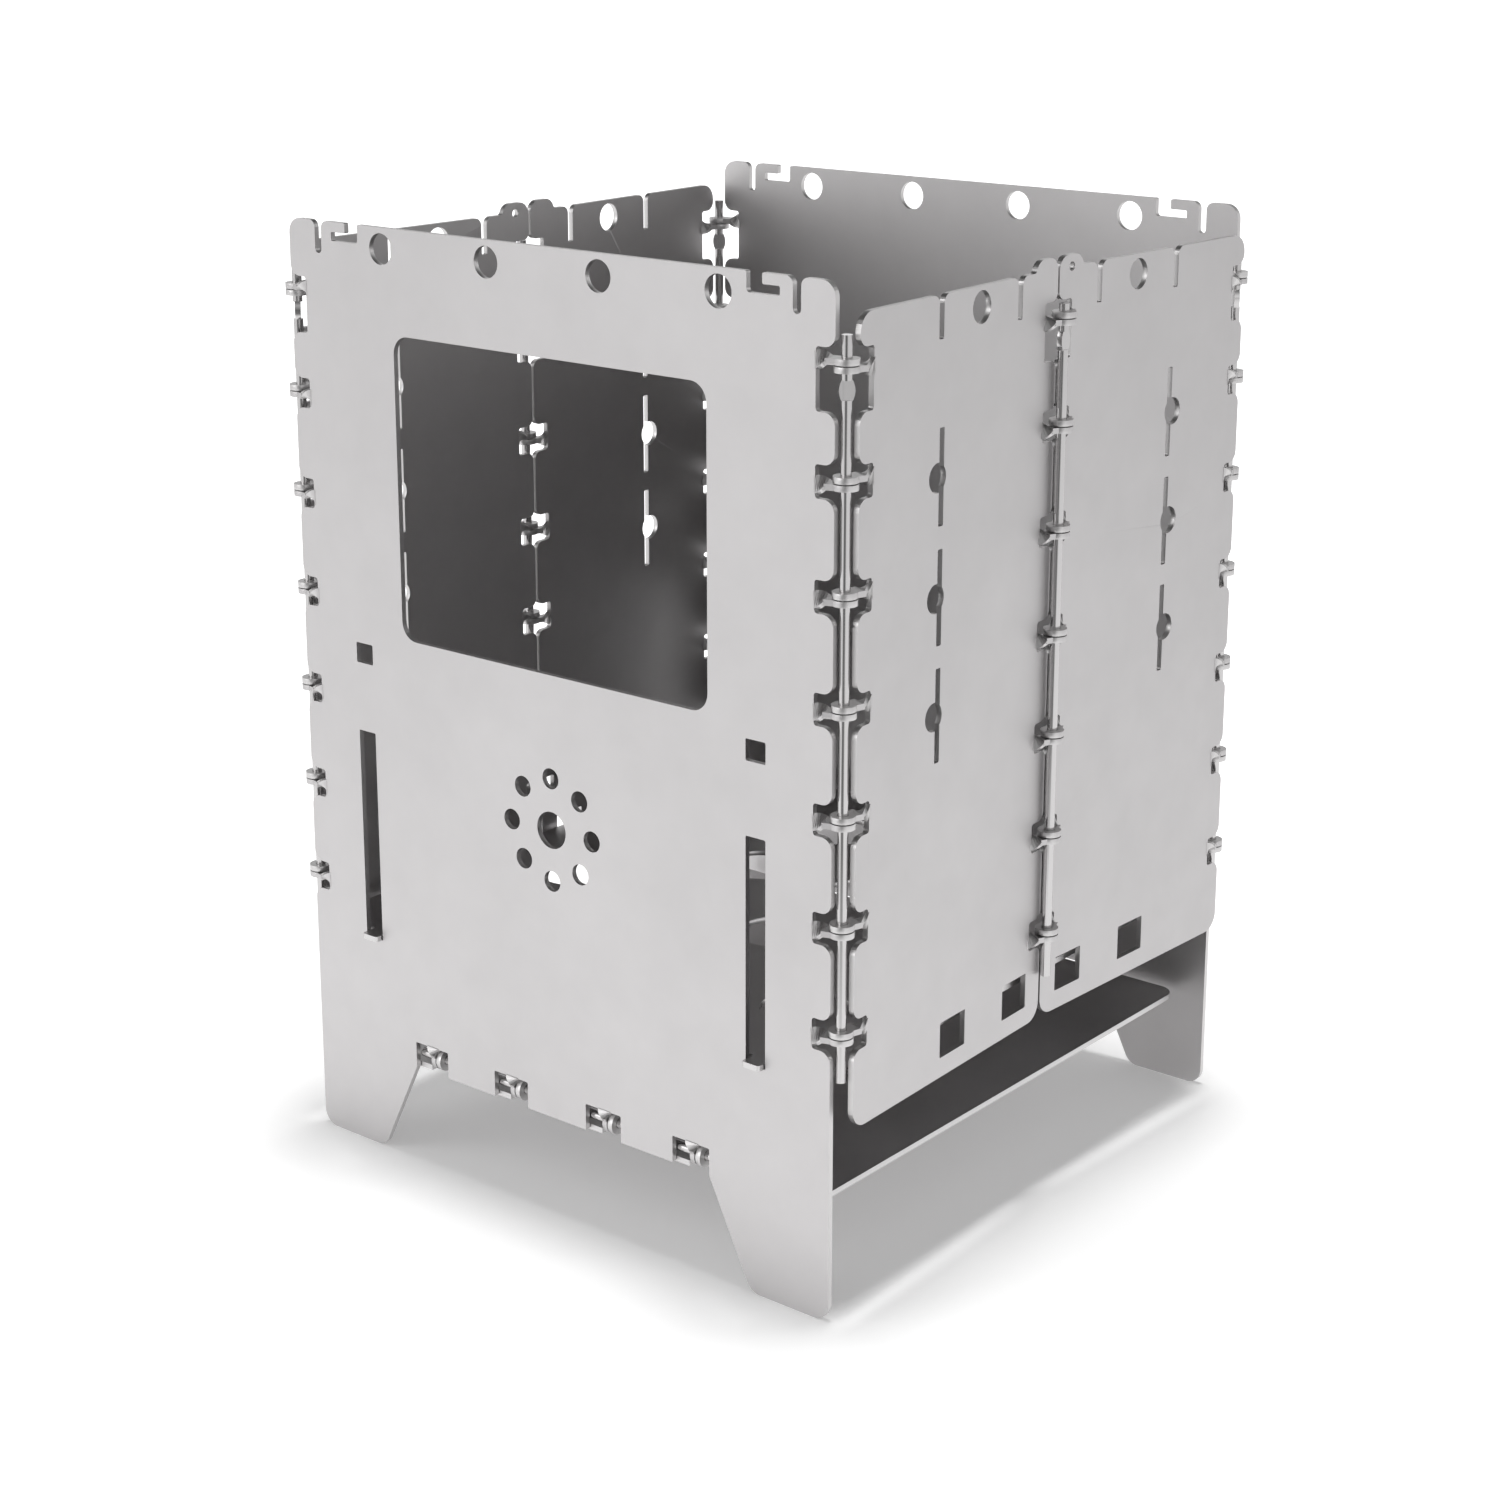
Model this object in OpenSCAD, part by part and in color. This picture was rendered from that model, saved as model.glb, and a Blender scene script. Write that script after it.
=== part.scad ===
/* [Front and back panels] */
// Width of the front and back panels
panel_w = 182; // [165:1:200]
// Height of the front and back panels, feet included
panel_h = 260; // [236:1:290]
// Depth of the stove over the outer faces of the two panels
depth = 182; // [165:1:200]
// Thickness of every sheet
sheet = 1.5; // [1.2:0.1:1.6]
// Radius of the panels' top corners
panel_corner = 4; // [2:0.5:6]

/* [Feet] */
// Height of the panels' lower edge above the ground
foot_h = 28; // [24:1:30]
// Width of a foot on the ground
foot_w = 24.5; // [18:0.5:30]
// Width of a foot at the panel's lower edge
foot_top_w = 38.3; // [37:0.1:38.3]
// Radius of a foot's corners
foot_r = 4.5; // [1:0.5:5]

/* [Feed window] */
// Width of the strip that is left on each side of the window
window_side = 38.2; // [34:0.1:50]
// Height of the window
window_h = 81.6; // [60:0.1:84]
// Distance from the panel's top edge down to the window
window_drop = 27.6; // [20:0.1:30]
// Radius of the window's corners
window_r = 5; // [1:0.5:10]

/* [Front air holes] */
// Distance from the window down to the middle of the ring of air holes
rose_drop = 41.8; // [30:0.1:50]
// Radius of the ring of air holes
rose_r = 14; // [10:0.5:20]
// Number of air holes in the ring
rose_count = 8; // [4:1:10]
// Diameter of the air holes in the ring
rose_d = 5.6; // [3:0.1:6]
// Diameter of the air hole in the middle
rose_mid_d = 10; // [4:0.5:12]

/* [Grate slots] */
// Distance from a panel's side edge to the middle of its grate slots
slot_in = 23.2; // [20:0.1:26]
// Width of a grate slot
slot_w = 6.2; // [5.5:0.1:8]
// Height of the slots' lower end above the ground
slot_low = 62.2; // [58:0.1:66]
// Length of a grate slot
slot_h = 60; // [40:1:64]
// Height of the upper grate holes above the ground, to their middle
perch_mid = 144.2; // [138:0.1:146]
// Height of an upper grate hole
perch_h = 5.6; // [4:0.1:6]

/* [Top edge] */
// Diameter of the round holes along the top edges
vent_d = 8.2; // [5:0.1:8.6]
// Distance from the top edge to the middle of its holes
vent_drop = 5.6; // [5:0.1:9]
// Distance from a panel's side edge to the nearest of its holes
vent_in = 34.5; // [32:0.1:40]
// Number of round holes along a panel's top edge
vent_count = 4; // [2:1:6]
// Width of the skewer notches
skewer_w = 2.4; // [1.6:0.1:3]
// Depth of the skewer notches
skewer_deep = 8.6; // [5:0.1:12]
// Distance from a panel's side edge to its skewer notch
skewer_in = 11.1; // [9:0.1:12]
// Radius of the notches' flared mouths
skewer_flare = 2; // [0.5:0.1:2.2]
// Thickness of the hook's finger
hook_finger = 2.7; // [1.5:0.1:3]
// Height of the gap under the hook's finger
hook_gap = 2.3; // [1.5:0.1:3]
// Width of the hook's post
hook_post = 3.8; // [2.6:0.1:5]
// Length of the hook's finger past its post
hook_reach = 5.2; // [3:0.1:7]
// Width of the hook's open mouth
hook_mouth = 4.7; // [2:0.1:6]

/* [Folding sides] */
// Height of the side panels' lower edge above the ground
side_low = 51.6; // [46:0.1:56]
// Distance from the panels' top edges down to the side panels' top edges
side_drop = 7.3; // [5:0.1:8]
// Gap between the two halves of a side when they stand straight
mid_gap = 0.6; // [0.6:0.1:2]
// Angle by which each half leans in, in degrees
bow = 2.3; // [0.5:0.1:2.6]
// Radius of the side panels' lower corners
side_corner = 5; // [2:0.5:8]
// Width of the ear over the middle hinge
ear_w = 10.5; // [10:0.5:11.5]
// Height of the ear over the side's top edge
ear_h = 3; // [2.8:0.1:3.6]
// Radius of the ear's rounded top
ear_r = 3.6; // [2:0.1:3.8]
// Diameter of the wire hole in one ear of each side
ear_hole_d = 2.4; // [1:0.1:3]
// Width of the notches in the side panels' top edge
side_notch_w = 2.1; // [1.5:0.1:3]
// Radius of those notches' flared mouths
side_notch_flare = 2.2; // [0.5:0.1:2.4]
// Depth of the notches in the side panels' top edge
side_notch_deep = 10.6; // [6:0.1:14]
// Share of a half's width from its corner edge to its first top notch
side_notch_share = 0.389; // [0.3:0.001:0.41]
// Share of a half's width between its two top notches
side_pitch_share = 0.407; // [0.3:0.001:0.42]
// Distance from a side's top edge to the middle of its round hole
side_vent_drop = 5.2; // [4.8:0.1:8]

/* [Keyholes and air holes] */
// Width of a keyhole's slot
key_w = 2.1; // [1.5:0.1:3]
// Length of a keyhole's slot
key_h = 24.2; // [16:0.2:27]
// Distance from one keyhole to the one below it
key_pitch = 29.9; // [28:0.1:34]
// Distance from a side's top edge down to the middle of its top keyhole
key_drop = 44; // [36:0.1:52]
// Share of a half's width from its corner edge to its keyholes
key_share = 0.4; // [0.32:0.01:0.5]
// Diameter of a keyhole's disc
key_disc_d = 7.4; // [5:0.1:10]
// Distance from the disc's middle to the slot's middle
key_disc_off = 1.7; // [0:0.1:3]
// Width of the air holes at the foot of the sides
air_w = 11.6; // [8:0.1:12]
// Height of the air holes
air_h = 9.6; // [6:0.1:11]
// Height of the air holes' lower edge above the ground
air_low = 56.9; // [56:0.1:59]
// Share of a half's width from its corner edge to its first air hole
air_share = 0.445; // [0.35:0.005:0.46]
// Share of a half's width from the first air hole to the second
air_pitch_share = 0.343; // [0.28:0.001:0.36]

/* [Hinges] */
// Diameter of the hinge rods
rod_d = 2.6; // [2.2:0.1:2.7]
// Clearance between a rod and a knuckle's bore, on the radius
rod_play = 0.08; // [0.05:0.01:0.1]
// Distance from a sheet's edge to its corner rod's axis, along the sheet
edge_gap = 1.1; // [1:0.1:1.6]
// Distance from a sheet's middle plane in to its corner rod's axis
corner_in = 2.2; // [2.2:0.1:2.8]
// Diameter of a knuckle's ring
ring_d = 6.2; // [5.6:0.1:6.4]
// Width of a knuckle's strap
strap_w = 4.4; // [3.8:0.1:5]
// Length over which a strap makes its quarter turn
twist_len = 3; // [2:0.1:3.4]
// Gap between the two rings of a knuckle pair
ring_gap = 0.3; // [0.3:0.05:0.5]
// Number of knuckle pairs on each upright hinge
pairs = 7; // [5:1:7]
// Distance from the panels' top edges down to the top knuckle pair
pair_drop = 19.4; // [18:0.1:22]
// Height of the lowest knuckle pair above the ground
pair_low = 76.2; // [75:0.1:78]
// Height of a hinge notch
notch_h = 8.1; // [8:0.1:10]
// Depth of a hinge notch
notch_deep = 5.6; // [5.2:0.1:6.4]
// Extra height of the top notch, below its knuckles
top_notch_more = 7; // [6.5:0.1:8]
// Radius of the rounded corners beside a hinge notch
notch_r = 3; // [2:0.1:4]
// Radius of the corners at the bottom of a hinge notch
notch_fillet = 0.8; // [0.3:0.1:1]
// Distance from a side's middle plane to the middle hinge's axis
mid_out = 2.6; // [2.4:0.1:3.2]
// Length of corner rod below the lowest knuckle pair
rod_tail = 12; // [8:0.5:14]
// Length of corner rod above the top knuckle pair
rod_head = 7; // [4:0.5:8]
// Length of middle rod below the lowest knuckle pair
mid_rod_tail = 12; // [2.2:0.1:14]
// Length of middle rod above the top knuckle pair
mid_rod_head = 3.6; // [2.4:0.1:6]
// Width of a rod's flattened crimp
crimp_w = 3.8; // [3:0.1:4]
// Thickness of a rod's flattened crimp
crimp_t = 1.4; // [1:0.1:1.8]
// Height of a rod's flattened crimp
crimp_h = 4.8; // [4:0.1:5.4]
// Room between the crimp and the knuckles above it
crimp_drop = 3.4; // [3:0.1:4]

/* [Base plate] */
// Distance from the panels' side edges in to the base plate's side edges
base_side_gap = 7.5; // [5:0.5:16]
// Gap between the base plate's rear edge and the back panel
base_rear_gap = 3; // [2:0.5:6]
// Gap between the base plate's front edge and the front panel
base_front_gap = 0.2; // [0.2:0.05:0.4]
// Radius of the base plate's rear corners
base_r = 5; // [2:0.5:10]
// Height of the base rod's axis above the panel's lower edge
base_rod_up = 3.5; // [3.2:0.1:3.8]
// Gap between the base rod and the front panel
base_rod_gap = 0.3; // [0.3:0.05:0.6]
// Distance from the base rod's axis down to the base plate's middle
base_drop = 3.15; // [3.1:0.05:3.4]
// Distance from the middle to the inner two base knuckles
base_pair_x = 16.6; // [14:0.1:20]
// Distance from an inner base knuckle to the outer one
base_pair_pitch = 30; // [28:0.1:30]
// Width of a base hinge cut-out
cut_w = 12.3; // [11.8:0.1:12.4]
// Height of a base hinge cut-out
cut_h = 7.4; // [7.2:0.1:8.4]
// Length of rod past the outer base knuckles
base_rod_end = 6; // [4:0.5:8]

/* [Grate] */
// Gap between the grate and each side where the sides lean in
grate_side_gap = 1.4; // [1:0.1:4]
// Gap between the grate and the front and back panels
grate_end_gap = 1.2; // [0.8:0.1:2]
// Length of the grate's tabs past the panels' outer faces
grate_tab = 2.2; // [1:0.1:4]
// Clearance around a grate tab in its slot
grate_play = 0.3; // [0.3:0.05:0.6]
// Gap under the grate tabs in the slots
grate_lift_gap = 0.1; // [0.05:0.05:0.2]
// Radius of the grate's corners
grate_r = 12; // [9:0.5:14]
// Number of grate holes along each side
grate_holes = 4; // [2:1:4]
// Diameter of the grate holes
grate_hole_d = 24; // [12:0.5:25]
// Distance from one grate hole to the next
grate_pitch = 38; // [28:0.5:40]

/* [Hidden] */
$fn = 64;
arc_steps = 7;
tiny_r = 0.4;
small_r = 1;
overlap = 0.6;
neck_slices = 6;
neck_slim = 0.1;
crimp_proud = 0.1;

// Places worked out from the driving sizes
panel_y = depth / 2 - sheet / 2;
rod_x = panel_w / 2 + edge_gap;
rod_y = panel_y - corner_in;
swing_out = corner_in + mid_out;
link = (rod_y - swing_out * sin(bow)) / cos(bow);
mid_x = rod_x + swing_out * cos(bow) - link * sin(bow);
mid_y = 0;
half_end = link - mid_gap / 2;
half_w = half_end - edge_gap;
bore_d = rod_d + 2 * rod_play;
ring_step = (sheet + ring_gap) / 2;
pair_top = panel_h - pair_drop;
pair_pitch = (pair_top - pair_low) / (pairs - 1);
mouth_r = min(notch_r, (pair_pitch - notch_h - top_notch_more) / 2 - 0.1);
mid_mouth_r = 0.75 * mouth_r;
side_high = panel_h - side_drop;
window_w = panel_w - 2 * window_side;
window_low = panel_h - window_drop - window_h;
rose_mid = window_low - rose_drop;
slot_x = panel_w / 2 - slot_in;
vent_pitch = (panel_w - 2 * vent_in) / (vent_count - 1);
side_notch_in = half_w * side_notch_share;
side_notch_pitch = half_w * side_pitch_share;
key_top = side_high - key_drop;
key_in = half_w * key_share;
air_in = half_w * air_share;
air_pitch = half_w * air_pitch_share;
base_w = panel_w - 2 * base_side_gap;
crimp_mid = pair_top - crimp_drop - crimp_h / 2;
crimp_off = (pow(crimp_h, 2) + pow(rod_d, 2) - pow(crimp_w, 2)) / (4 * (crimp_w - rod_d));
crimp_r = crimp_off + crimp_w / 2;
side_top_r = max(tiny_r, min(side_corner, side_high - pair_top - notch_h / 2 - mouth_r - 0.2));
hook_floor = hook_finger + hook_gap;
base_rod_z = foot_h + base_rod_up;
base_rod_y = -depth / 2 + sheet + base_rod_gap + rod_d / 2;
base_z = base_rod_z - base_drop;
base_front = -depth / 2 + sheet + base_front_gap;
base_rear = depth / 2 - sheet - base_rear_gap;
base_pairs = [for (s = [-1, 1], k = [0, 1]) s * (base_pair_x + k * base_pair_pitch)];
base_ring_in = ring_step / 2;
base_notch_w = ring_d + 2;
base_notch_deep = notch_deep + 1;
grate_z = slot_low + grate_lift_gap + sheet / 2;
grate_half_x = mid_x - mid_out - sheet / 2 - grate_side_gap;
grate_half_y = depth / 2 - sheet - grate_end_gap;
sheet_grey = "#c9c8c6";
rod_grey = "#b4b4b2";

// Height of knuckle pair k
function pair_z(k) = pair_low + k * pair_pitch;

// Lower and upper end of hinge notch k, where the top one is longer
function notch_ends(k) =
    [pair_z(k) - notch_h / 2 - (k == pairs - 1 ? top_notch_more : 0), pair_z(k) + notch_h / 2];

// Ring height of a panel's own knuckle in pair k: below the side's, but above it in the top pair
function panel_ring_z(k) = pair_z(k) + (k == pairs - 1 ? ring_step : -ring_step);
function side_ring_z(k) = pair_z(k) + (k == pairs - 1 ? -ring_step : ring_step);

// Arc of radius r that replaces corner b between points a and c
function corner_arc(a, b, c, r) =
    let (u = (a - b) / norm(a - b), v = (c - b) / norm(c - b))
    let (half = acos(u * v) / 2, centre = b + (u + v) / norm(u + v) * r / sin(half))
    let (p = b + u * r / tan(half) - centre, q = b + v * r / tan(half) - centre)
    let (from = atan2(p[1], p[0]), turn = (atan2(q[1], q[0]) - from + 540) % 360 - 180)
    [for (i = [0 : arc_steps]) centre + r * [cos(from + turn * i / arc_steps), sin(from + turn * i / arc_steps)]];

// Outline through [x, y, radius] points with every corner rounded by its own radius
function rounded(pts) = let (n = len(pts))
    [for (i = [0 : n - 1])
        let (a = pts[(i + n - 1) % n], b = pts[i], c = pts[(i + 1) % n])
        each b[2] == 0 ? [[b[0], b[1]]] : corner_arc([a[0], a[1]], [b[0], b[1]], [c[0], c[1]], b[2])];

// Points of an edge's hinge notches, going up an edge at x with the notches cut towards -x
function notch_points(x, deep, r) =
    [for (k = [0 : pairs - 1]) each
        [[x, notch_ends(k)[0], r], [x - deep, notch_ends(k)[0], notch_fillet],
        [x - deep, notch_ends(k)[1], notch_fillet], [x, notch_ends(k)[1], r]]];

function flipped(pts) = [for (i = [len(pts) - 1 : -1 : 0]) [-pts[i][0], pts[i][1], pts[i][2]]];
function reversed(pts) = [for (i = [len(pts) - 1 : -1 : 0]) pts[i]];

module rounded_box(x0, x1, y0, y1, r) {
    polygon(rounded([[x0, y0, r], [x1, y0, r], [x1, y1, r], [x0, y1, r]]));
}

// Cut-outs for the base plate's hinge in the right half of the front panel's lower edge
function cut_points() =
    [for (k = [0, 1]) let (c = base_pair_x + k * base_pair_pitch) each
        [[c - cut_w / 2, foot_h, 0], [c - cut_w / 2, foot_h + cut_h, tiny_r],
        [c + cut_w / 2, foot_h + cut_h, tiny_r], [c + cut_w / 2, foot_h, 0]]];

// Right half of a panel's top edge from its corner inwards: corner tab, skewer notch and hook
function top_points() =
    let (x = panel_w / 2 - skewer_in, w = skewer_w / 2, h = panel_h, post = x - w - hook_post)
    [[panel_w / 2, h, panel_corner],
    [x + w, h, skewer_flare], [x + w, h - skewer_deep, w * 0.95],
    [x - w, h - skewer_deep, w * 0.95], [x - w, h, skewer_flare],
    [post - hook_reach, h, tiny_r], [post - hook_reach, h - hook_finger, tiny_r],
    [post, h - hook_finger, tiny_r], [post, h - hook_floor, tiny_r],
    [post - hook_reach - hook_mouth, h - hook_floor, small_r], [post - hook_reach - hook_mouth, h, tiny_r]];

// Right half of a panel's outline, from the middle of its lower edge to the middle of its top edge
function panel_half(with_cuts) =
    concat(with_cuts ? cut_points()
            : [[panel_w / 2 - foot_top_w, foot_h, small_r]],
        [[panel_w / 2 - foot_w, 0, foot_r], [panel_w / 2, 0, foot_r]],
        notch_points(panel_w / 2, notch_deep, mouth_r), top_points());

module panel_sheet(with_cuts) {
    half = panel_half(with_cuts);
    rotate([90, 0, 0]) linear_extrude(sheet, center = true) difference() {
        polygon(rounded(concat(half, flipped(half))));
        for (k = [0 : vent_count - 1])
            translate([vent_in - panel_w / 2 + k * vent_pitch, panel_h - vent_drop]) circle(d = vent_d);
        for (s = [-1, 1]) {
            rounded_box(s * slot_x - slot_w / 2, s * slot_x + slot_w / 2, slot_low, slot_low + slot_h, tiny_r);
            rounded_box(s * slot_x - slot_w / 2, s * slot_x + slot_w / 2,
                perch_mid - perch_h / 2, perch_mid + perch_h / 2, tiny_r);
        }
    }
}

// One knuckle: a tab along +Y that starts in its sheet at the origin, twists flat and ends in a ring.
// The ring lies out to +X of the sheet's middle plane and along from the notch's wall.
module knuckle(along, out) {
    reach = norm([along, out]);
    neck = min(twist_len, reach - ring_d / 2 + overlap / 2);
    rotate([0, 0, -atan2(out, along)]) {
        translate([0, -overlap, 0]) rotate([-90, 0, 0])
            linear_extrude(neck + overlap, twist = 90, slices = neck_slices, $fn = 4)
                square([sheet - neck_slim, strap_w - neck_slim], center = true);
        difference() {
            union() {
                translate([0, reach, -sheet / 2]) cylinder(d = ring_d, h = sheet);
                translate([-strap_w / 2, neck - overlap, -sheet / 2])
                    cube([strap_w, reach - neck + overlap, sheet]);
            }
            translate([0, reach, -sheet]) cylinder(d = bore_d, h = 2 * sheet);
        }
    }
}

// Knuckles along both side edges of the front or back panel, whose inner face is to +Y of it
module panel_knuckles() {
    for (k = [0 : pairs - 1]) {
        translate([panel_w / 2 - notch_deep, 0, panel_ring_z(k)]) rotate([0, 0, -90])
            knuckle(notch_deep + edge_gap, -corner_in);
        translate([-panel_w / 2 + notch_deep, 0, panel_ring_z(k)]) rotate([0, 0, 90])
            knuckle(notch_deep + edge_gap, corner_in);
    }
}

// Front panel with its feed window, its air holes and the knuckles of the base plate's hinge
module front_panel() {
    color(sheet_grey) translate([0, -panel_y, 0]) {
        difference() {
            panel_sheet(true);
            rotate([90, 0, 0]) linear_extrude(2 * sheet, center = true) {
                rounded_box(-window_w / 2, window_w / 2, window_low, window_low + window_h, window_r);
                translate([0, rose_mid]) circle(d = rose_mid_d);
                for (i = [0 : rose_count - 1])
                    translate([0, rose_mid]) rotate(i * 360 / rose_count) translate([0, rose_r]) circle(d = rose_d);
            }
        }
        panel_knuckles();
        for (c = base_pairs) translate([c, 0, foot_h + cut_h]) rotate([-90, 0, 90])
            translate([0, 0, -base_ring_in]) knuckle(cut_h - base_rod_up, base_rod_y + panel_y);
    }
}

module back_panel() {
    color(sheet_grey) translate([0, panel_y, 0]) {
        panel_sheet(false);
        mirror([0, 1, 0]) panel_knuckles();
    }
}

// Outline of half a side, from its corner edge to the middle hinge
function side_points() =
    let (y0 = edge_gap, y1 = half_end, e = side_high + ear_h, w = side_notch_w / 2)
    concat([[y0, side_low, side_corner], [y1, side_low, side_corner]],
        notch_points(y1, notch_deep, mid_mouth_r),
        [[y1, e, ear_r], [y1 - ear_w + ear_h / 2, e, ear_r], [y1 - ear_w, side_high, small_r]],
        [for (k = [1, 0]) let (c = y0 + side_notch_in + k * side_notch_pitch) each
            [[c + w, side_high, side_notch_flare], [c + w, side_high - side_notch_deep, tiny_r],
            [c - w, side_high - side_notch_deep, tiny_r], [c - w, side_high, side_notch_flare]]],
        [[y0, side_high, side_top_r]],
        [for (p = reversed(notch_points(y0, -notch_deep, mouth_r))) p]);

module keyhole(y, z) {
    rounded_box(y - key_w / 2, y + key_w / 2, z - key_h / 2, z + key_h / 2, tiny_r);
    translate([y - key_disc_off, z]) circle(d = key_disc_d);
}

module side_sheet(wire_hole) {
    rotate([90, 0, 90]) linear_extrude(sheet, center = true) difference() {
        polygon(rounded(side_points()));
        translate([edge_gap + side_notch_in + side_notch_pitch / 2, side_high - side_vent_drop]) circle(d = vent_d);
        for (k = [0 : 2]) keyhole(edge_gap + key_in, key_top - k * key_pitch);
        for (k = [0, 1]) let (y = edge_gap + air_in + k * air_pitch)
            rounded_box(y, y + air_w, air_low, air_low + air_h, tiny_r);
        if (wire_hole) translate([half_end - ear_w / 2, side_high]) circle(d = ear_hole_d);
    }
}

// Half a side with its corner rod's axis at the origin and the sheet along +Y, outer face to +X
module side_half(rear) {
    translate([corner_in, 0, 0]) {
        side_sheet(rear);
        for (k = [0 : pairs - 1]) {
            translate([0, edge_gap + notch_deep, side_ring_z(k)]) rotate([0, 0, 180])
                knuckle(edge_gap + notch_deep, corner_in);
            translate([0, half_end - notch_deep, pair_z(k) + (rear ? ring_step : -ring_step)])
                knuckle(link - half_end + notch_deep, mid_out);
        }
    }
}

// Right half-sides: the front one turned in about its corner rod, the rear one its mirror image
module right_half(rear) {
    mirror([0, rear ? 1 : 0, 0]) translate([rod_x, -rod_y, 0]) rotate([0, 0, bow]) side_half(rear);
}

module right_front_side() { color(sheet_grey) right_half(false); }
module right_rear_side() { color(sheet_grey) right_half(true); }

// The left side is the right one turned round, so its front half is the right side's rear half
module left_front_side() { color(sheet_grey) rotate([0, 0, 180]) right_half(true); }
module left_rear_side() { color(sheet_grey) rotate([0, 0, 180]) right_half(false); }

// Upright hinge rod with a crimp under its top knuckles, flattened towards the outside of the stove
module upright_rod(x, y, tail, head) {
    translate([x, y, 0]) rotate([0, 0, y == 0 ? 90 : x * y > 0 ? -45 : 45]) {
        difference() {
            translate([0, 0, pair_low - tail]) cylinder(d = rod_d, h = pair_top - pair_low + tail + head);
            for (s = [-1, 1]) translate([0, s * (crimp_t + rod_d) / 2, crimp_mid])
                cube([2 * rod_d, rod_d, crimp_h - 2 * crimp_proud], center = true);
        }
        translate([0, 0, crimp_mid]) intersection() {
            translate([crimp_off, 0, 0]) rotate([90, 0, 0])
                cylinder(r = crimp_r, h = crimp_t + crimp_proud, center = true);
            translate([-crimp_off, 0, 0]) rotate([90, 0, 0])
                cylinder(r = crimp_r, h = crimp_t + crimp_proud, center = true);
            cube([2 * crimp_w, 2 * crimp_t, crimp_h + 2 * crimp_proud], center = true);
        }
    }
}

module front_right_rod() { color(rod_grey) upright_rod(rod_x, -rod_y, rod_tail, rod_head); }
module front_left_rod() { color(rod_grey) upright_rod(-rod_x, -rod_y, rod_tail, rod_head); }
module rear_right_rod() { color(rod_grey) upright_rod(rod_x, rod_y, rod_tail, rod_head); }
module rear_left_rod() { color(rod_grey) upright_rod(-rod_x, rod_y, rod_tail, rod_head); }
module right_middle_rod() { color(rod_grey) upright_rod(mid_x, mid_y, mid_rod_tail, mid_rod_head); }
module left_middle_rod() { color(rod_grey) upright_rod(-mid_x, mid_y, mid_rod_tail, mid_rod_head); }

// Rod along the front panel's lower edge
module base_plate_rod() {
    half = base_pair_x + base_pair_pitch + base_rod_end;
    color(rod_grey) translate([-half, base_rod_y, base_rod_z]) rotate([0, 90, 0]) cylinder(d = rod_d, h = 2 * half);
}

// Base plate, which hangs under its rod and stops against the front panel
module base_plate() {
    color(sheet_grey) {
        translate([0, 0, base_z - sheet / 2]) linear_extrude(sheet) difference() {
            polygon(rounded([[-base_w / 2, base_front, small_r], [base_w / 2, base_front, small_r],
                [base_w / 2, base_rear, base_r], [-base_w / 2, base_rear, base_r]]));
            for (c = base_pairs) translate([c + base_ring_in + 2 * ring_step - base_notch_w / 2, base_front - small_r])
                square([base_notch_w, base_notch_deep + small_r]);
        }
        for (c = base_pairs)
            translate([c + base_ring_in + 2 * ring_step, base_front + base_notch_deep, base_z]) rotate([0, -90, 180])
                knuckle(base_front + base_notch_deep - base_rod_y, base_drop);
    }
}

// Loose grate whose tabs stand in the panels' long slots
module grate() {
    tab_half = slot_w / 2 - grate_play;
    tab_end = depth / 2 + grate_tab;
    span = (grate_holes - 1) / 2;
    color(rod_grey) translate([0, 0, grate_z - sheet / 2]) linear_extrude(sheet) difference() {
        union() {
            rounded_box(-grate_half_x, grate_half_x, -grate_half_y, grate_half_y, grate_r);
            for (s = [-1, 1])
                rounded_box(s * slot_x - tab_half, s * slot_x + tab_half, -tab_end, tab_end, small_r);
        }
        for (i = [-span : span], j = [-span : span])
            translate([i * grate_pitch, j * grate_pitch]) circle(d = grate_hole_d);
    }
}

front_panel();
back_panel();
right_front_side();
right_rear_side();
left_front_side();
left_rear_side();
base_plate();
grate();
front_right_rod();
front_left_rod();
rear_right_rod();
rear_left_rod();
right_middle_rod();
left_middle_rod();
base_plate_rod();
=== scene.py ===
# %% [markdown]
# A folding twig stove of satin titanium sheet. The sheets, rods, grate and base plate come from the
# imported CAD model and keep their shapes. This script gives them their edges, their finishes, a studio and
# a camera.

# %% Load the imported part
import math

import bmesh
import bpy
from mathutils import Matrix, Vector


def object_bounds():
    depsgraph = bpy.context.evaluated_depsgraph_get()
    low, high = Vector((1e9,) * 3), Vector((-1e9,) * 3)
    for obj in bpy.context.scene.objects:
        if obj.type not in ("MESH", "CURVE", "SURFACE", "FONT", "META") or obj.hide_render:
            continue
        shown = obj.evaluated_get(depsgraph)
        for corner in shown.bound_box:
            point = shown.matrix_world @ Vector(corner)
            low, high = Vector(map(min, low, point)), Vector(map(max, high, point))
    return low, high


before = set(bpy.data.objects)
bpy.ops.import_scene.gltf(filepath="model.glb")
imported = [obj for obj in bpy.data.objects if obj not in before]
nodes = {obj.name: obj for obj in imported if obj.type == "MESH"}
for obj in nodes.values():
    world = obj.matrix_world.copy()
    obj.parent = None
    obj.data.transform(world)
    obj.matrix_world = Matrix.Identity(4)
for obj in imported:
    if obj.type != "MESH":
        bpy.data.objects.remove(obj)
cad_low, cad_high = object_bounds()
stove_middle = (Vector(cad_low) + Vector(cad_high)) / 2
print("nodes:", len(nodes), "box:", [round(v, 4) for v in (*cad_low, *cad_high)])
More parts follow.
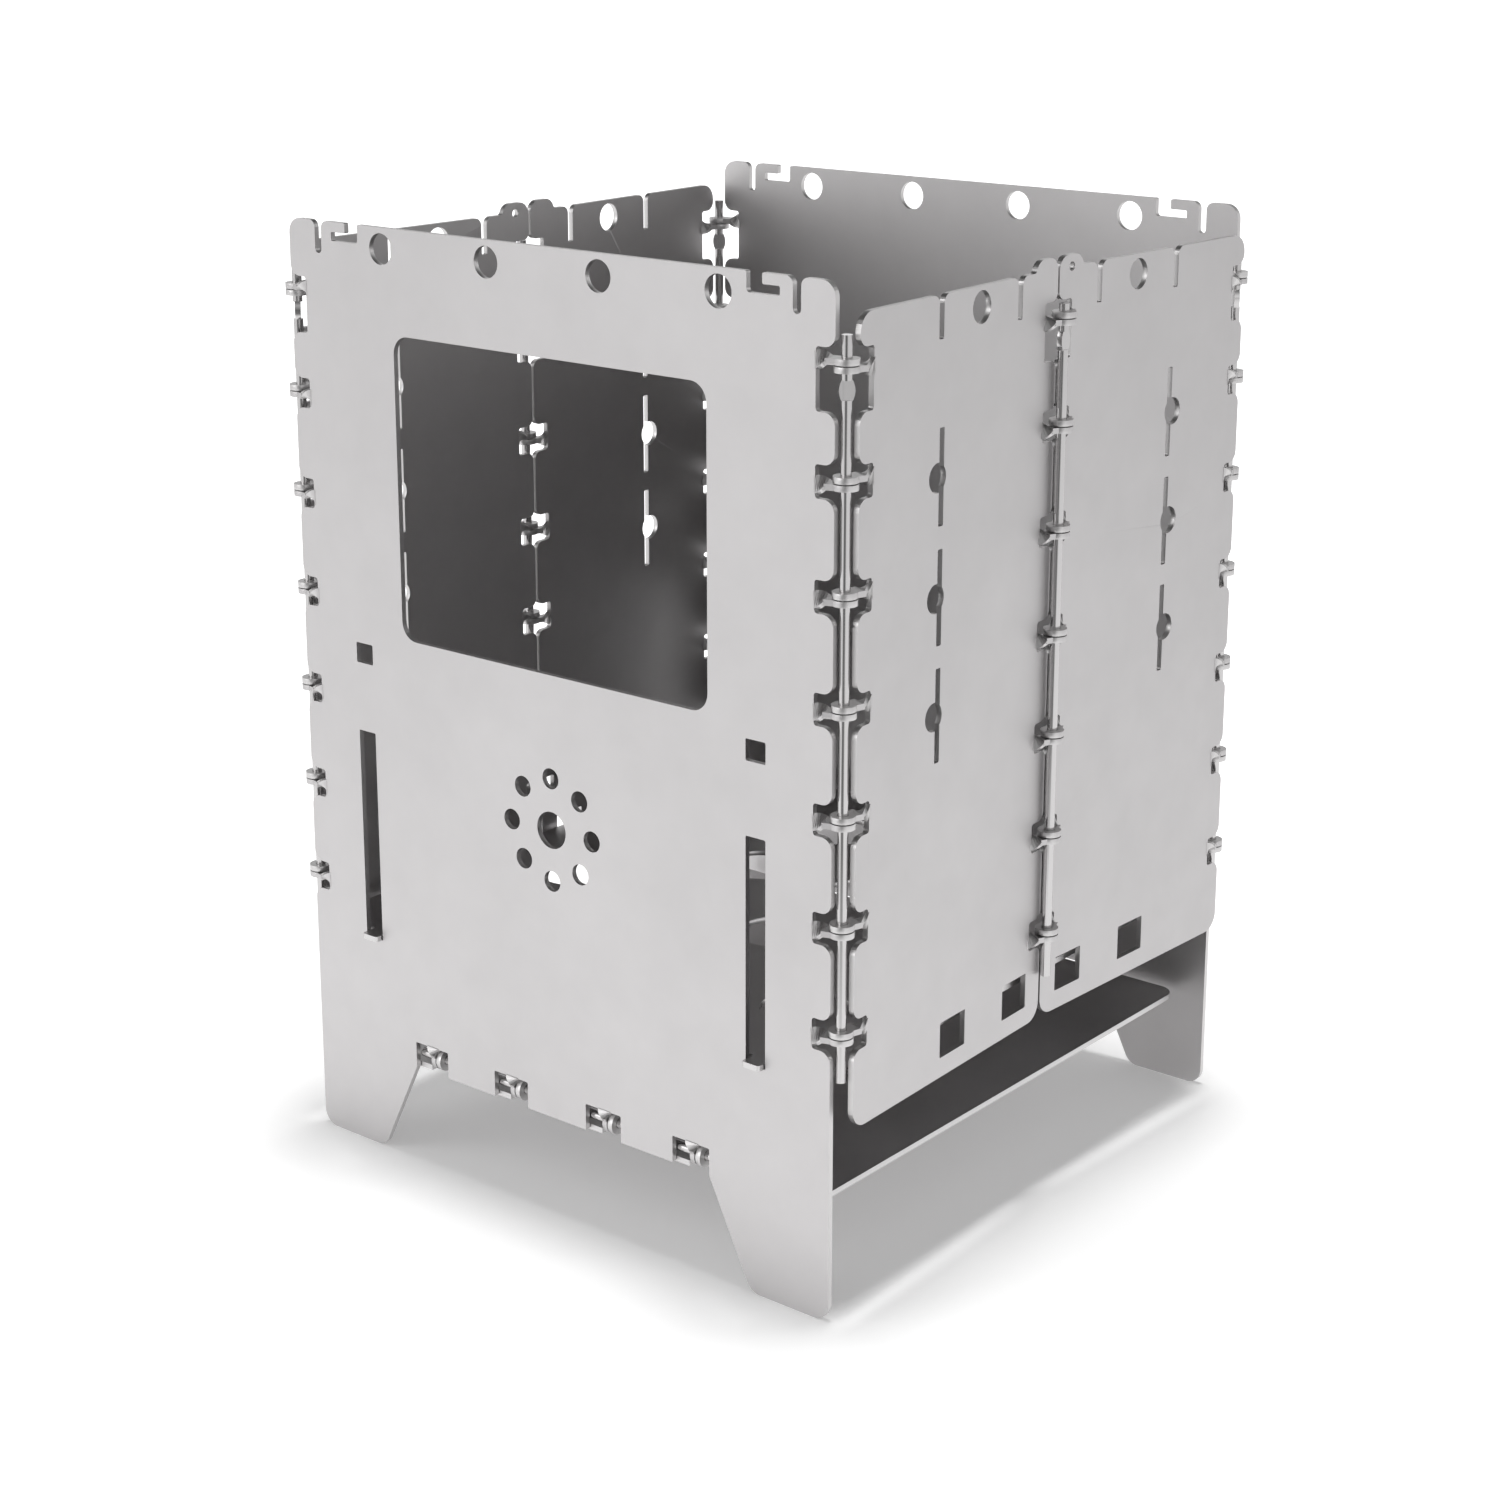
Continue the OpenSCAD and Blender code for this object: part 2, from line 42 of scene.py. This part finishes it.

# %% [markdown]
# The sheets are cut by laser, and their edges are then broken a little by tumbling, so each edge carries
# a thin bright line. The bevel could be painted on with a shader, but a real bevel is part of the
# meshes. The CAD meshes are loose triangles, so a Weld modifier joins them first.

# %% Names of the pieces by the way their sheets face
UPRIGHT_SHEETS = ["front_panel", "back_panel"]
SIDE_SHEETS = ["right_front_side", "right_rear_side", "left_front_side", "left_rear_side"]
FLAT_SHEETS = ["base_plate"]
CORNER_RODS = ["front_right_rod", "front_left_rod", "rear_right_rod", "rear_left_rod"]
MIDDLE_RODS = ["right_middle_rod", "left_middle_rod"]

# %% Broken edges
EDGE_BREAK = 0.00016
EDGE_SEGMENTS = 2
EDGE_ROUNDNESS = 0.5
EDGE_ANGLE = math.radians(50)
WELD_DISTANCE = 0.000004


def break_edges(piece):
    """Joins a CAD sheet's triangles and rounds its sharp edges a little."""
    weld = piece.modifiers.new("join", "WELD")
    weld.merge_threshold = WELD_DISTANCE
    bevel = piece.modifiers.new("broken edges", "BEVEL")
    bevel.width = EDGE_BREAK
    bevel.segments = EDGE_SEGMENTS
    bevel.profile = EDGE_ROUNDNESS
    bevel.limit_method = "ANGLE"
    bevel.angle_limit = EDGE_ANGLE
    bevel.use_clamp_overlap = True


for name in [*UPRIGHT_SHEETS, *SIDE_SHEETS, *FLAT_SHEETS, "grate"]:
    break_edges(nodes[name])
print("edges broken by", EDGE_BREAK * 1000, "mm")

# %% [markdown]
# Bead blasting leaves the titanium pale and satin, with a fine grain and very faint clouds where the
# blast passed more than once. The grain is a bump, the clouds change colour and roughness, and all of it
# reads Object coordinates, so it stays on the sheet when a panel turns. Four materials use it, so it is a
# node group. First come the helpers that add one node each to a tree.


# %% Helpers for node trees
def new_group(name, inputs, outputs):
    """Makes a shader node group with the named sockets and gives its tree and its two end nodes."""
    tree = bpy.data.node_groups.new(name, "ShaderNodeTree")
    kinds = {"value": "NodeSocketFloat", "colour": "NodeSocketColor", "vector": "NodeSocketVector"}
    for label, kind in inputs:
        tree.interface.new_socket(label, in_out="INPUT", socket_type=kinds[kind])
    for label, kind in outputs:
        tree.interface.new_socket(label, in_out="OUTPUT", socket_type=kinds[kind])
    return tree, tree.nodes.new("NodeGroupInput"), tree.nodes.new("NodeGroupOutput")


def add_noise(tree, vector, scale, detail, roughness=0.5):
    """Adds a noise texture on a vector and gives its value socket."""
    noise = tree.nodes.new("ShaderNodeTexNoise")
    noise.inputs["Scale"].default_value = scale
    noise.inputs["Detail"].default_value = detail
    noise.inputs["Roughness"].default_value = roughness
    tree.links.new(vector, noise.inputs["Vector"])
    return noise.outputs["Fac"]


def add_range(tree, value, low, high, new_low, new_high):
    """Maps a value from one range to another and gives the mapped socket."""
    node = tree.nodes.new("ShaderNodeMapRange")
    for label, number in (("From Min", low), ("From Max", high), ("To Min", new_low), ("To Max", new_high)):
        node.inputs[label].default_value = number
    tree.links.new(value, node.inputs["Value"])
    return node.outputs["Result"]


def add_math(tree, operation, first, second=None):
    """Adds a math node on one or two sockets or numbers and gives its result."""
    node = tree.nodes.new("ShaderNodeMath")
    node.operation = operation
    for socket, value in zip(node.inputs, (first, second)):
        if value is None:
            continue
        if isinstance(value, (int, float)):
            socket.default_value = value
        else:
            tree.links.new(value, socket)
    return node.outputs[0]


def add_dot(tree, first, second):
    """Adds a dot product of a vector socket with a vector socket or tuple and gives its value."""
    node = tree.nodes.new("ShaderNodeVectorMath")
    node.operation = "DOT_PRODUCT"
    tree.links.new(first, node.inputs[0])
    if isinstance(second, tuple):
        node.inputs[1].default_value = second
    else:
        tree.links.new(second, node.inputs[1])
    return node.outputs["Value"]


def add_mix(tree, factor, first, second):
    """Mixes two colours, each a socket or an RGBA tuple, by a factor socket."""
    node = tree.nodes.new("ShaderNodeMix")
    node.data_type = "RGBA"
    tree.links.new(factor, node.inputs["Factor"])
    for label, value in (("A", first), ("B", second)):
        socket = next(s for s in node.inputs if s.name == label and s.type == "RGBA")
        if isinstance(value, tuple):
            socket.default_value = value
        else:
            tree.links.new(value, socket)
    return next(s for s in node.outputs if s.type == "RGBA")


def add_bump(tree, height, strength, distance):
    """Adds a bump from a height socket and gives its normal."""
    node = tree.nodes.new("ShaderNodeBump")
    node.inputs["Strength"].default_value = strength
    node.inputs["Distance"].default_value = distance
    tree.links.new(height, node.inputs["Height"])
    return node.outputs["Normal"]


def new_metal(name):
    """Makes a bare metal material and gives it with its tree and its shader."""
    material = bpy.data.materials.new(name)
    material.use_nodes = True
    shader = material.node_tree.nodes["Principled BSDF"]
    shader.inputs["Metallic"].default_value = 1.0
    return material, material.node_tree, shader


# %% Blasted titanium, as a group
# Noise by scale, detail and roughness. Most of a noise's values lie within NOISE_SPAN.
CLOUDS = (16.0, 3.0, 0.55)
STREAKS = (95.0, 4.0, 0.6)
GRAIN = (2600.0, 2.0, 0.7)
CLOUD_SHARE = 0.65
NOISE_SPAN = (0.3, 0.7)
SHADES = (0.96, 1.03)
ROUGHNESS_SWING = (0.025, -0.025)
# A face this much in the sheet's plane is plain sheet, and one at the second value is all cut edge
CUT_FLATNESS = (0.97, 0.8)
CUT_POLISH = 0.08


def blasted_group():
    """Colour, roughness and grain of blasted sheet; faces off the sheet's plane are cut edges."""
    tree, given, result = new_group(
        "blasted titanium",
        [("Sheet Normal", "vector"), ("Face Colour", "colour"), ("Cut Colour", "colour"),
         ("Roughness", "value")],
        [("Colour", "colour"), ("Roughness", "value"), ("Grain", "value")])
    place = tree.nodes.new("ShaderNodeTexCoord")
    clouds, streaks, grain = (
        add_noise(tree, place.outputs["Object"], *noise) for noise in (CLOUDS, STREAKS, GRAIN))
    facing = add_dot(tree, place.outputs["Normal"], given.outputs["Sheet Normal"])
    cut = add_range(tree, add_math(tree, "ABSOLUTE", facing), *CUT_FLATNESS, 0.0, 1.0)
    tone = add_math(tree, "ADD", add_math(tree, "MULTIPLY", clouds, CLOUD_SHARE),
                    add_math(tree, "MULTIPLY", streaks, 1.0 - CLOUD_SHARE))
    toned = tree.nodes.new("ShaderNodeVectorMath")
    toned.operation = "SCALE"
    tree.links.new(given.outputs["Face Colour"], toned.inputs[0])
    tree.links.new(add_range(tree, tone, *NOISE_SPAN, *SHADES), toned.inputs["Scale"])
    colour = add_mix(tree, cut, toned.outputs["Vector"], given.outputs["Cut Colour"])
    swing = add_range(tree, tone, *NOISE_SPAN, *ROUGHNESS_SWING)
    rough = add_math(tree, "ADD", given.outputs["Roughness"], swing)
    rough = add_math(tree, "SUBTRACT", rough, add_math(tree, "MULTIPLY", cut, CUT_POLISH))
    tree.links.new(colour, result.inputs["Colour"])
    tree.links.new(rough, result.inputs["Roughness"])
    tree.links.new(grain, result.inputs["Grain"])
    return tree


blasted = blasted_group()
print("group:", blasted.name)

# %% [markdown]
# The group tells a sheet's faces from its cut edges by the way the sheet faces, so there is one finish
# for each way. The grate is a little darker and smoother than the other sheets.

# %% Sheet finishes
FACE = (0.59, 0.578, 0.581, 1.0)
CUT = (0.64, 0.63, 0.63, 1.0)
GRATE_FACE = (0.52, 0.51, 0.512, 1.0)
SHEET_ROUGHNESS = 0.47
GRATE_ROUGHNESS = 0.36
GRAIN_STRENGTH = 0.12
GRAIN_DEPTH = 0.0001


def sheet_finish(name, normal, face, roughness):
    """A satin titanium material for sheets that face along one axis."""
    material, tree, shader = new_metal(name)
    group = tree.nodes.new("ShaderNodeGroup")
    group.node_tree = blasted
    group.inputs["Sheet Normal"].default_value = normal
    group.inputs["Face Colour"].default_value = face
    group.inputs["Cut Colour"].default_value = CUT
    group.inputs["Roughness"].default_value = roughness
    grain = add_bump(tree, group.outputs["Grain"], GRAIN_STRENGTH, GRAIN_DEPTH)
    tree.links.new(group.outputs["Colour"], shader.inputs["Base Color"])
    tree.links.new(group.outputs["Roughness"], shader.inputs["Roughness"])
    tree.links.new(grain, shader.inputs["Normal"])
    return material


finishes = {
    "front_back": sheet_finish("satin sheet facing front and back", (0, 1, 0), FACE, SHEET_ROUGHNESS),
    "sides": sheet_finish("satin sheet facing left and right", (1, 0, 0), FACE, SHEET_ROUGHNESS),
    "flat": sheet_finish("satin sheet lying flat", (0, 0, 1), FACE, SHEET_ROUGHNESS),
    "grate": sheet_finish("satin grate", (0, 0, 1), GRATE_FACE, GRATE_ROUGHNESS),
}


def dress(name, material):
    """Puts one finish on a CAD piece."""
    mesh = nodes[name].data
    mesh.materials.clear()
    mesh.materials.append(material)


for name in UPRIGHT_SHEETS:
    dress(name, finishes["front_back"])
for name in SIDE_SHEETS:
    dress(name, finishes["sides"])
for name in FLAT_SHEETS:
    dress(name, finishes["flat"])
dress("grate", finishes["grate"])
print("sheet finishes:", sorted(finishes))

# %% [markdown]
# The hinge rods are bright drawn wire. Drawing leaves fine lines along the wire, so the noise is
# stretched along it and feeds both roughness and a slight bump. Wider dull patches come from handling.

# %% Drawn wire
WIRE = (0.6, 0.59, 0.59, 1.0)
# Noise by scale and detail
DRAW_LINES = (1800.0, 2.0)
DULL_PATCHES = (70.0, 3.0)
LINE_ROUGHNESS = (0.08, 0.16)
PATCH_ROUGHNESS = (0.0, 0.1)
PATCH_TINT = (0.0, 0.35)
LINE_STRENGTH = 0.1
LINE_DEPTH = 0.00005
LENGTHWISE = 0.02


def wire_finish(name, stretch):
    """Bright drawn wire with its lines along the axis whose stretch is small."""
    material, tree, shader = new_metal(name)
    place = tree.nodes.new("ShaderNodeTexCoord")
    along = tree.nodes.new("ShaderNodeMapping")
    along.inputs["Scale"].default_value = stretch
    tree.links.new(place.outputs["Object"], along.inputs["Vector"])
    lines = add_noise(tree, along.outputs["Vector"], *DRAW_LINES)
    dull = add_noise(tree, place.outputs["Object"], *DULL_PATCHES)
    rough = add_math(tree, "ADD", add_range(tree, lines, *NOISE_SPAN, *LINE_ROUGHNESS),
                     add_range(tree, dull, *NOISE_SPAN, *PATCH_ROUGHNESS))
    colour = add_mix(tree, add_range(tree, dull, *NOISE_SPAN, *PATCH_TINT), WIRE, FACE)
    tree.links.new(colour, shader.inputs["Base Color"])
    tree.links.new(rough, shader.inputs["Roughness"])
    tree.links.new(add_bump(tree, lines, LINE_STRENGTH, LINE_DEPTH), shader.inputs["Normal"])
    return material


upright_wire = wire_finish("drawn wire, upright", (1.0, 1.0, LENGTHWISE))
level_wire = wire_finish("drawn wire, level", (LENGTHWISE, 1.0, 1.0))
for name in [*CORNER_RODS, *MIDDLE_RODS]:
    dress(name, upright_wire)
dress("base_plate_rod", level_wire)
print("wire finishes on", len(CORNER_RODS) + len(MIDDLE_RODS) + 1, "rods")

# %% [markdown]
# The studio is a plain pale floor under soft light. Bare metal shows what it mirrors, so the floor and the
# world have one brightness for the camera and another for reflections. To the camera both end in white. In
# reflections the floor carries a painted glow that fades with distance, and a painted dimming on the side
# where the photographer stood, which the world has too and which gives the rods their dark stripe. The
# floor's glow for the camera is least round the stove, which paints shade there over the soft shadow that
# the lamps throw.

# %% Floor
FLOOR_HALF = 6.0
FLOOR_COLOUR = (0.93, 0.93, 0.93, 1.0)
BLACK = (0.0, 0.0, 0.0, 1.0)
WHITE = (1.0, 1.0, 1.0, 1.0)
# Both glows are painted light. The camera's glow is weakest round the stove, which paints shade there. The
# reflections' glow is a painted reflection, brightest round the stove.
# From the first distance to the second, in metres, a glow goes from the third number to the fourth
SEEN_GLOW_PAINTING_SHADE = (0.12, 0.4, 0.16, 0.8)
PAINTED_REFLECTION_GLOW = (0.13, 1.0, 0.24, 0.05)
DIM_REACH = (0.25, 0.45)
DIM_TURN = math.radians(27)
DIM_WAY = (math.sin(DIM_TURN), -math.cos(DIM_TURN), 0.0)
DIM_EDGE = (0.88, 0.98)
DIM_SIDE = 0.2


def dim_side(tree, direction):
    """How bright reflections are in a level direction: dim where the photographer stood, full elsewhere."""
    return add_range(tree, add_dot(tree, direction, DIM_WAY), *DIM_EDGE, 1.0, DIM_SIDE)


def floor_finish():
    """A matt pale floor whose camera glow paints shade round the stove, and whose glow and colour in
    reflections are painted, dim on one side.
    """
    material = bpy.data.materials.new("pale floor")
    material.use_nodes = True
    tree = material.node_tree
    shader = tree.nodes["Principled BSDF"]
    shader.inputs["Roughness"].default_value = 1.0
    shader.inputs["Specular IOR Level"].default_value = 0.0
    shader.inputs["Emission Color"].default_value = WHITE
    path = tree.nodes.new("ShaderNodeLightPath")
    mirrors = path.outputs["Is Glossy Ray"]
    place = tree.nodes.new("ShaderNodeTexCoord")
    length = tree.nodes.new("ShaderNodeVectorMath")
    length.operation = "LENGTH"
    tree.links.new(place.outputs["Object"], length.inputs[0])
    reach = length.outputs["Value"]
    side = tree.nodes.new("ShaderNodeVectorMath")
    side.operation = "NORMALIZE"
    tree.links.new(place.outputs["Object"], side.inputs[0])
    far = add_range(tree, reach, *DIM_REACH, 0.0, 1.0)
    painted_dimming = add_math(tree, "SUBTRACT", 1.0, dim_side(tree, side.outputs["Vector"]))
    painted_dimming = add_math(tree, "MULTIPLY", painted_dimming, far)
    lit = add_math(tree, "SUBTRACT", 1.0, painted_dimming)
    # Painted shade: less glow near the stove keeps the floor round it darker.
    seen = add_math(tree, "MULTIPLY", path.outputs["Is Camera Ray"], add_range(tree, reach, *SEEN_GLOW_PAINTING_SHADE))
    glow = add_math(tree, "MULTIPLY", add_range(tree, reach, *PAINTED_REFLECTION_GLOW), lit)
    mirrored = add_math(tree, "MULTIPLY", mirrors, glow)
    tree.links.new(add_math(tree, "ADD", seen, mirrored), shader.inputs["Emission Strength"])
    # Painted dark reflection: in reflections the floor's colour goes towards black on the photographer's
    # side.
    painted_dark_reflection = add_math(tree, "MULTIPLY", mirrors, painted_dimming)
    tree.links.new(add_mix(tree, painted_dark_reflection, FLOOR_COLOUR, BLACK), shader.inputs["Base Color"])
    return material


def make_floor():
    """A wide flat floor under the stove."""
    shape = bmesh.new()
    bmesh.ops.create_grid(shape, x_segments=1, y_segments=1, size=FLOOR_HALF)
    mesh = bpy.data.meshes.new("floor")
    shape.to_mesh(mesh)
    shape.free()
    mesh.materials.append(floor_finish())
    floor = bpy.data.objects.new("floor", mesh)
    bpy.context.scene.collection.objects.link(floor)
    return floor


print("floor:", make_floor().name, "of", 2 * FLOOR_HALF, "m")

# %% [markdown]
# The world is white to the camera. In reflections it is white round the stove, dim overhead and on the
# photographer's side, and has one bright soft patch at front left, which lights the inside of the back
# panel. Diffuse surfaces get a weak even light from it, because the lamps do the rest.

# %% World
CEILING = 0.05
OVERHEAD_FROM, OVERHEAD_FULL = 0.2, 0.7
SOFTBOX = 2.6
SOFTBOX_WAY = (-0.37, -0.89, 0.26)
SOFTBOX_EDGE = (0.88, 0.98)
AMBIENT = 0.4


def reflected_light(tree, direction):
    """Brightness of the world in reflections, by direction."""
    height = tree.nodes.new("ShaderNodeSeparateXYZ")
    tree.links.new(direction, height.inputs["Vector"])
    overhead = add_range(tree, height.outputs["Z"], OVERHEAD_FROM, OVERHEAD_FULL, 1.0, CEILING)
    room = add_math(tree, "MULTIPLY", overhead, dim_side(tree, direction))
    patch = add_range(tree, add_dot(tree, direction, SOFTBOX_WAY), *SOFTBOX_EDGE, 0.0, SOFTBOX)
    return add_math(tree, "MAXIMUM", room, patch)


def make_world():
    """A studio world with its own brightness for the camera, for reflections and for diffuse light."""
    world = bpy.data.worlds.new("studio")
    bpy.context.scene.world = world
    world.use_nodes = True
    tree = world.node_tree
    background = tree.nodes["Background"]
    background.inputs["Color"].default_value = WHITE
    path = tree.nodes.new("ShaderNodeLightPath")
    towards = tree.nodes.new("ShaderNodeTexCoord")
    mirrors = add_math(tree, "MAXIMUM", path.outputs["Is Glossy Ray"], path.outputs["Is Transmission Ray"])
    mirrored = add_math(tree, "MULTIPLY", mirrors, reflected_light(tree, towards.outputs["Generated"]))
    diffuse = add_math(tree, "MULTIPLY", path.outputs["Is Diffuse Ray"], AMBIENT)
    strength = add_math(tree, "MAXIMUM", path.outputs["Is Camera Ray"], mirrored)
    tree.links.new(add_math(tree, "MAXIMUM", strength, diffuse), background.inputs["Strength"])
    return world


print("world:", make_world().name)

# %% [markdown]
# One small lamp high above throws the tight soft shadow under the stove, and a weak one at front left
# softens it. Neither shows in reflections, which are left to the world and the floor.


# %% Lamps
def soft_lamp(name, place, size, watts):
    """A square area lamp that looks at the middle of the stove."""
    data = bpy.data.lights.new(name, "AREA")
    data.energy = watts
    data.size = size
    lamp = bpy.data.objects.new(name, data)
    lamp.location = place
    lamp.rotation_euler = (stove_middle - Vector(place)).to_track_quat("-Z", "Y").to_euler()
    lamp.visible_glossy = False
    bpy.context.scene.collection.objects.link(lamp)
    return lamp


lamps = [
    soft_lamp("overhead", place=(0.05, 0.15, 4.0), size=0.7, watts=95.0),
    soft_lamp("front left", place=(-1.0, -1.3, 1.4), size=1.0, watts=4.0),
]
print("lamps:", [lamp.name for lamp in lamps])

# %% [markdown]
# The photograph was taken from the front right, a little above the stove's top edge. Its upright edges
# run nearly parallel, which takes a lens shift. Only a small one is kept, because the other views keep it
# too.

# %% Camera
CAMERA_PLACE = (0.4749, -0.5933, 0.3537)
CAMERA_DOWN = math.radians(14.88)
CAMERA_AZIMUTH = math.radians(39.14)
LENS = 67.78
SENSOR = 36.0
LENS_SHIFT = -0.1

camera_data = bpy.data.cameras.new("camera")
camera_data.lens = LENS
camera_data.sensor_width = SENSOR
camera_data.shift_y = LENS_SHIFT
camera = bpy.data.objects.new("camera", camera_data)
camera.location = CAMERA_PLACE
camera.rotation_euler = (math.pi / 2 - CAMERA_DOWN, 0.0, CAMERA_AZIMUTH)
bpy.context.scene.collection.objects.link(camera)
bpy.context.scene.camera = camera
bpy.context.scene.view_settings.view_transform = "Standard"
print("camera:", camera_data.lens, "mm")
